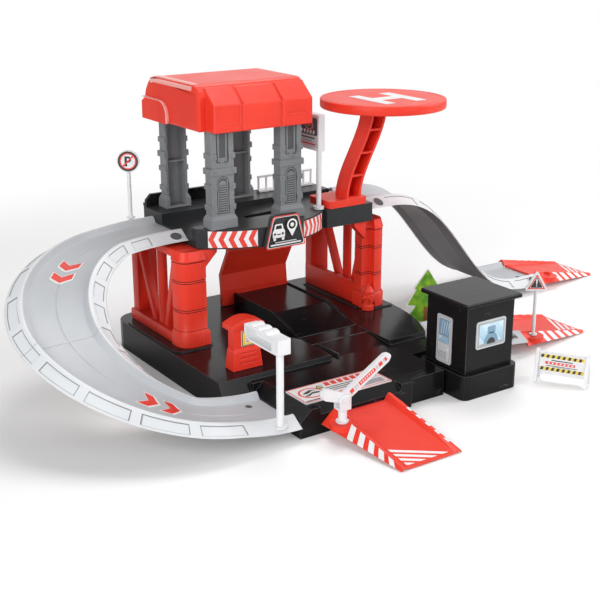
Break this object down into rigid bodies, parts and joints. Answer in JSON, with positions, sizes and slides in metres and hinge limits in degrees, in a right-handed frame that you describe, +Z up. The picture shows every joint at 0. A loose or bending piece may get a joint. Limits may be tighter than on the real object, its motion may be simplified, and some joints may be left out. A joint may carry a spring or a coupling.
{
  "type": "toy fire station",
  "caption": "Two-storey toy fire station with a spiral track, slide and ramps, helipad tower, booth, swinging barrier, street lamp and signs.",
  "frame": {"origin": "on the table under the garage bay, at the foot of the middle support boss of the base", "axes": "+Z up, +X to the right along the deck towards the slide, +Y to the back; the open garage side faces -Y"},
  "size_m": [0.653, 0.3443, 0.2409],
  "materials": {
    "black": "gloss",
    "column_grey": "satin",
    "deck_grey": "satin",
    "print_black": "printed label",
    "print_blue": "printed label",
    "print_white": "printed label",
    "red": "gloss",
    "track_grey": "satin",
    "tree_green": "printed",
    "white": "satin"
  },
  "bodies": {
    "station": {"barricade_frame": "white", "barricade_panel": "print_white", "barrier_pin": "white", "barrier_post": "white", "base_platform": "black", "billboard_panel": "white", "billboard_post": "white", "booth_body": "black", "booth_door": "print_blue", "booth_plinth": "black", "booth_roof": "black", "booth_window": "print_blue", "deck_guard": "black", "deck_railing": "white", "fire_hydrant": "red", "front_ramp": "red", "garage_back_wall": "red", "garage_road": "black", "helipad_disc": "red", "helipad_pillar": "red", "kiosk_label": "print_white", "left_wall_frame": "red", "notice_plate": "print_white", "parking_plate": "print_black", "pump_kiosk": "red", "rear_ramp": "red", "right_wall_frame": "red", "side_connector_track": "track_grey", "side_ramp": "red", "slide_track": "track_grey", "spiral_track_lower": "track_grey", "spiral_track_upper": "track_grey", "tower_column_back_left": "column_grey", "tower_column_back_right": "column_grey", "tower_column_front_left": "column_grey", "tower_column_front_right": "column_grey", "tower_roof": "red", "tree": "tree_green", "upper_deck": "deck_grey"},
    "barrier": {"barrier_arm": "white"},
    "street_lamp": {"street_lamp_post": "white", "street_lamp_head": "white"},
    "no_parking_sign": {"no_parking_post": "white", "no_parking_disc": "white"},
    "warning_sign": {"warning_post": "white", "warning_triangle": "white"}
  },
  "joints": [
    {"name": "barrier_arm_hinge", "type": "hinge", "parent": "station", "child": "barrier", "pos_m": [-0.0605, -0.1343, 0.0318], "axis": [0, -1, 0], "range_deg": [-31, 45]},
    {"name": "street_lamp_swivel", "type": "hinge", "parent": "station", "child": "street_lamp", "pos_m": [-0.1038, -0.1171, 0.0129], "axis": [0, 0, 1], "continuous": true},
    {"name": "no_parking_sign_swivel", "type": "hinge", "parent": "station", "child": "no_parking_sign", "pos_m": [-0.1042, 0.11658, 0.12007], "axis": [0, 0, 1], "continuous": true},
    {"name": "warning_sign_swivel", "type": "hinge", "parent": "station", "child": "warning_sign", "pos_m": [0.1883, -0.081, 0.0128], "axis": [0, 0, 1], "continuous": true}
  ]
}
